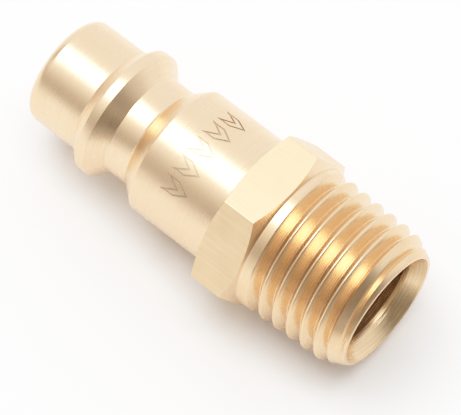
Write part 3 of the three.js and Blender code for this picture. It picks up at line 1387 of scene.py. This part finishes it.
    def build(self) -> None:
        """Makes every piece of the valve."""
        self.poppet()
        self.seal()
        self.spring()
        self.guide()
        self.ring()


# ------------------------------------------------------------------------------ studio


@dataclass(frozen=True)
class Shade:
    """A dark part of the room.

    Attributes:
        towards: the direction that its middle lies in.
        stops: what it leaves of the light, by the cosine of the angle from its middle.
    """

    towards: tuple[float, float, float]
    stops: Stops


WHITE: Colour = (1.0, 1.0, 1.0)

CORNER = Shade(
    (0.914, -0.406, 0.0),
    ((0.3, WHITE), (0.5, (0.66, 0.65, 0.62)), (0.9, (0.64, 0.62, 0.58)), (0.99, (0.3, 0.28, 0.24))),
)
BYSTANDER = Shade((0.52, -0.4, 0.755), ((0.88, WHITE), (0.95, (0.42, 0.36, 0.29))))

# The room's brightness by the angle about the plug's axis, from +Y over the top.
ROOM: Stops = (
    (0, (1.05, 1.06, 1.1)),
    (65, (0.98, 0.99, 1.02)),
    (77, (0.5, 0.5, 0.5)),
    (110, (0.5, 0.5, 0.5)),
    (116, (0.8, 0.8, 0.82)),
    (124, (1.0, 1.0, 1.0)),
    (138, (0.72, 0.69, 0.66)),
    (150, (0.55, 0.53, 0.5)),
    (163, (0.46, 0.44, 0.41)),
    (174, (0.8, 0.79, 0.77)),
    (180, (1.1, 1.1, 1.15)),
)


@dataclass
class Studio:
    """The pale floor, the soft light and the camera. Its sizes are in metres.

    Attributes:
        floor_size: how wide the floor is.
        floor_lit: the floor's colour round the plug.
        floor_unlit: its colour past the fade.
        floor_fade: where the floor starts and stops fading, towards the dark corner.
        softbox_height: how high the softbox hangs.
        softbox_size: how long and how wide it is.
        softbox_offset: where the softbox hangs, in X and Y.
        softbox_radiance: how bright its face is.
        room_brightness: how bright the room is, as a factor on its colours.
        shades: the dark parts of the room.
        white_point: the light value that is shown as white.
        shoulder: the tone above which the bright tones are rolled off.
        curve_lights: the light values that the curve has points at.
        azimuth: how far the camera stands round from -Y towards +X.
        elevation: how high it stands.
        roll: how far it is turned about its own line of sight.
        distance: how far it is from its aim.
        aim: what it looks at, counted from the middle of the body on the axis.
        lens: its focal length, in millimetres.
        sensor: its sensor's width, in millimetres.
    """

    floor_size: float = 1.2
    floor_lit: Colour = (0.98, 0.98, 0.98)
    floor_unlit: Colour = (0.4, 0.37, 0.33)
    floor_fade: tuple[float, float] = (0.026, 0.052)
    softbox_height: float = 0.5
    softbox_size: tuple[float, float] = (0.56, 0.3)
    softbox_offset: tuple[float, float] = (-0.08, -0.04)
    softbox_radiance: float = 4.0
    room_brightness: float = 1.2
    shades: tuple[Shade, ...] = (CORNER, BYSTANDER)
    white_point: float = 1.5
    shoulder: float = 0.4
    curve_lights: tuple[float, ...] = (0.4, 0.55, 0.7, 0.85, 1.0, 1.2, 1.35)
    azimuth: float = 38.2
    elevation: float = 61.16
    roll: float = 2.59
    distance: float = 0.3161
    aim: tuple[float, float, float] = (0.00171, -0.0011, 0.0)
    lens: float = 299.4
    sensor: float = 36.0

    def floor(self) -> None:
        """Lays a floor under the hexagon's lower flat, which fades towards the dark corner."""
        floor = primitive(
            "floor",
            bpy.ops.mesh.primitive_plane_add,
            size=self.floor_size,
            location=(0, 0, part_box("plug_body")[0].z),
        )
        surface = Surface("pale_floor")
        near, far = self.floor_fade
        fade = surface.add(
            "MapRange",
            {"interpolation_type": "SMOOTHSTEP"},
            Value=surface.along(surface.place, CORNER.towards),
            From_Min=near,
            From_Max=far,
        )
        colour = surface.mix(fade.outputs["Result"], self.floor_lit, self.floor_unlit)
        surface.give(Base_Color=colour, Roughness=0.8, Specular_IOR_Level=0.1)
        floor.data.materials.append(surface.material)

    def softbox(self) -> None:
        """Hangs a long softbox over the plug, in line with its axis."""
        lamp = bpy.data.lights.new("softbox", "AREA")
        lamp.shape = "RECTANGLE"
        lamp.size, lamp.size_y = self.softbox_size
        lamp.energy = self.softbox_radiance * math.pi * lamp.size * lamp.size_y
        holder = bpy.data.objects.new("softbox", lamp)
        holder.location = (*self.softbox_offset, self.softbox_height)
        holder.visible_camera = False
        bpy.context.scene.collection.objects.link(holder)

    def surroundings(self) -> None:
        """Paints the room that the brass reflects, which the camera itself sees as white."""
        world = bpy.data.worlds.new("studio")
        bpy.context.scene.world = world
        world.use_nodes = True
        nodes = Nodes(world.node_tree)
        direction = nodes.add("TexCoord").outputs["Generated"]
        _, y, z = nodes.add("SeparateXYZ", Vector=direction).outputs
        half_turns = nodes.math("DIVIDE", nodes.math("ARCTAN2", z, y), math.pi)
        light = nodes.ramp(half_turns, [(degrees / 180, colour) for degrees, colour in ROOM])
        for shade in self.shades:
            left = nodes.ramp(nodes.along(direction, shade.towards), shade.stops)
            light = nodes.operate("VectorMath", "MULTIPLY", light, left).outputs["Vector"]
        seen = nodes.add("LightPath").outputs["Is Camera Ray"]
        background = world.node_tree.nodes["Background"]
        nodes.feed(background.inputs["Color"], nodes.mix(seen, light, WHITE))
        nodes.feed(background.inputs["Strength"], self.room_brightness)

    def camera(self) -> None:
        """Stands the camera above and beside the thread end."""
        data = bpy.data.cameras.new("camera")
        data.lens, data.sensor_width = self.lens, self.sensor
        data.clip_start = 0.01
        camera = bpy.data.objects.new("camera", data)
        bpy.context.scene.collection.objects.link(camera)
        turn = Matrix.Rotation(math.radians(self.azimuth), 4, "Z")
        tilt = Matrix.Rotation(math.radians(90 - self.elevation), 4, "X")
        roll = Matrix.Rotation(math.radians(self.roll), 4, "Z")
        back = Matrix.Translation((0, 0, self.distance))
        low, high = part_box("plug_body")
        middle = (low + high) / 2
        centre = Vector((middle.x, 0, 0)) + Vector(self.aim)
        camera.matrix_world = Matrix.Translation(centre) @ turn @ tilt @ roll @ back
        bpy.context.scene.camera = camera

    def film(self) -> None:
        """Rolls the bright tones off softly, so that they reach white at the white point."""
        view = bpy.context.scene.view_settings
        view.view_transform = "Standard"
        view.use_curve_mapping = True
        mapping = view.curve_mapping
        mapping.white_level = (self.white_point,) * 3
        # The fourth curve acts on all three colours.
        curve = mapping.curves[3]
        for light in self.curve_lights:
            curve.points.new(light / self.white_point, self.tone(light))
        mapping.update()

    def tone(self, light: float) -> float:
        """Says how bright a light value is shown: as it is, up to the shoulder of the curve.

        Args:
            light: the light value.

        Returns:
            The tone, from 0 to 1.
        """
        if light <= self.shoulder:
            return light
        room = self.white_point - self.shoulder
        fall = 1 - (light - self.shoulder) / room
        return 1 - (1 - self.shoulder) * fall ** (room / (1 - self.shoulder))

    def build(self) -> None:
        """Sets the studio up."""
        self.floor()
        self.softbox()
        self.surroundings()
        self.camera()
        self.film()


def main() -> None:
    """Builds the plug and its valve, and the studio round them."""
    logging.basicConfig(level=logging.INFO, format="%(message)s")
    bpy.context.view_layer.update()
    PlugBody().build()
    ShutOffValve().build()
    Studio().build()


if __name__ == "__main__":
    main()
